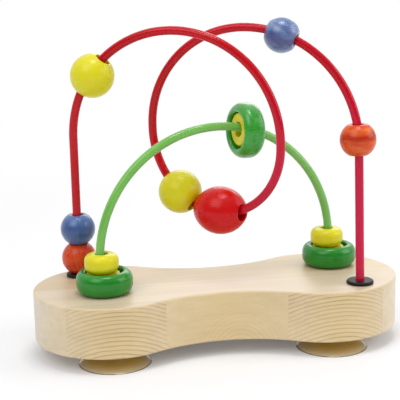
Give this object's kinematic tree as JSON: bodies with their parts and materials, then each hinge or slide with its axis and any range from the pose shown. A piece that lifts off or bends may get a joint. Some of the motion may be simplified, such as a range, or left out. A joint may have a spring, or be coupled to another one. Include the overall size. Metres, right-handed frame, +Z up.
{
  "type": "bead maze",
  "caption": "Toy bead maze: a waisted wooden base on suction cups, a looped red wire and a low green arch, with wooden beads and ringed wheels that travel along them.",
  "frame": {"origin": "On the ground plane under the rims of the cups, at the middle of the base's length and width.", "axes": "+X along the base to the right as in the picture, -Y to the front, +Z up."},
  "size_m": [0.255, 0.1044, 0.2257],
  "materials": {
    "base_wood": "pale edge-glued softwood, clear satin lacquer",
    "cup_rubber": "soft amber cup, a little see-through",
    "wire_steel": "drawn wire",
    "red_plastic": "smooth sleeve",
    "green_plastic": "smooth sleeve",
    "collar_plastic": "moulded, near black",
    "yellow_wood": "gloss lacquered",
    "red_wood": "gloss lacquered",
    "blue_wood": "stained, grain showing, lacquered",
    "orange_wood": "stained, grain showing, lacquered",
    "orange_red_wood": "stained, grain showing, lacquered",
    "green_wood": "stained, grain showing, gloss lacquered"
  },
  "bodies": {
    "base": {"front_edge_boards": "base_wood", "front_middle_board": "base_wood", "back_middle_board": "base_wood", "back_edge_boards": "base_wood", "cup_front_left": "cup_rubber", "cup_front_right": "cup_rubber", "cup_back_left": "cup_rubber", "cup_back_right": "cup_rubber", "red_core": "wire_steel", "red_sleeve": "red_plastic", "green_core": "wire_steel", "green_sleeve": "green_plastic", "collar_red_left": "collar_plastic", "collar_red_right": "collar_plastic", "collar_green_left": "collar_plastic", "collar_green_right": "collar_plastic"},
    "orange_bead_left": {"orange_bead_left": "orange_red_wood"},
    "blue_bead_left": {"blue_bead_left": "blue_wood"},
    "yellow_bead_top": {"yellow_bead_top": "yellow_wood"},
    "red_bead": {"red_bead": "red_wood"},
    "yellow_bead_loop": {"yellow_bead_loop": "yellow_wood"},
    "blue_bead_top": {"blue_bead_top": "blue_wood"},
    "orange_bead_right": {"orange_bead_right": "orange_wood"},
    "hub_left": {"hub_left": "yellow_wood"},
    "ring_left": {"ring_left": "green_wood"},
    "flat_bead_left": {"flat_bead_left": "yellow_wood"},
    "hub_right": {"hub_right": "yellow_wood"},
    "ring_right": {"ring_right": "green_wood"},
    "flat_bead_right": {"flat_bead_right": "yellow_wood"},
    "hub_top": {"hub_top": "yellow_wood"},
    "ring_top": {"ring_top": "green_wood"}
  },
  "joints": [
    {"name": "orange_left_slide", "type": "slide", "parent": "base", "child": "orange_bead_left", "axis": [0, 0, 1], "range_m": [0, 0.02]},
    {"name": "blue_left_slide", "type": "slide", "parent": "orange_bead_left", "child": "blue_bead_left", "axis": [0, 0, 1], "range_m": [0, 0.033]},
    {"name": "yellow_top_travel", "type": "hinge", "parent": "base", "child": "yellow_bead_top", "pos_m": [-0.02804, -0.00186, 0.1444], "axis": [-0.4545, -0.8908, 0], "range_deg": [-110, 20]},
    {"name": "red_travel", "type": "hinge", "parent": "base", "child": "red_bead", "pos_m": [0.00281, -0.00263, 0.14169], "axis": [-0.6836, -0.7298, 0], "range_deg": [0, 60]},
    {"name": "yellow_loop_travel", "type": "hinge", "parent": "base", "child": "yellow_bead_loop", "pos_m": [0.00281, -0.00263, 0.14937], "axis": [-0.6836, -0.7298, 0], "range_deg": [-35, 0]},
    {"name": "blue_top_travel", "type": "hinge", "parent": "base", "child": "blue_bead_top", "pos_m": [0.02224, 0.00482, 0.13978], "axis": [-0.4545, -0.8908, 0], "range_deg": [-45, 19]},
    {"name": "orange_right_slide", "type": "slide", "parent": "base", "child": "orange_bead_right", "axis": [-0.0155, 0.0079, 0.9998], "range_m": [-0.086, 0]},
    {"name": "wheel_top_travel", "type": "hinge", "parent": "base", "child": "hub_top", "pos_m": [0.00201, 0.00352, 0.06654], "axis": [0.1968, -0.9805, 0], "range_deg": [-55, 15]},
    {"name": "wheel_top_spin", "type": "hinge", "parent": "hub_top", "child": "ring_top", "pos_m": [0.02311, 0.00776, 0.14799], "axis": [-0.9633, -0.2645, 0.047], "continuous": true},
    {"name": "wheel_left_travel", "type": "hinge", "parent": "base", "child": "hub_left", "pos_m": [0.00201, 0.00352, 0.06654], "axis": [-0.1968, 0.9805, 0], "range_deg": [0, 40]},
    {"name": "wheel_left_spin", "type": "hinge", "parent": "hub_left", "child": "ring_left", "pos_m": [-0.07936, -0.01318, 0.045], "axis": [0, 0, 1], "continuous": true},
    {"name": "flat_left_travel", "type": "hinge", "parent": "hub_left", "child": "flat_bead_left", "pos_m": [0.00201, 0.00352, 0.06654], "axis": [-0.1968, 0.9805, 0], "range_deg": [0, 30]},
    {"name": "wheel_right_travel", "type": "hinge", "parent": "base", "child": "hub_right", "pos_m": [0.00201, 0.00352, 0.06654], "axis": [0.1968, -0.9805, 0], "range_deg": [0, 25]},
    {"name": "wheel_right_spin", "type": "hinge", "parent": "hub_right", "child": "ring_right", "pos_m": [0.08637, 0.01964, 0.045], "axis": [0, 0, 1], "continuous": true},
    {"name": "flat_right_travel", "type": "hinge", "parent": "hub_right", "child": "flat_bead_right", "pos_m": [0.00201, 0.00352, 0.06654], "axis": [0.1968, -0.9805, 0], "range_deg": [0, 25]}
  ]
}
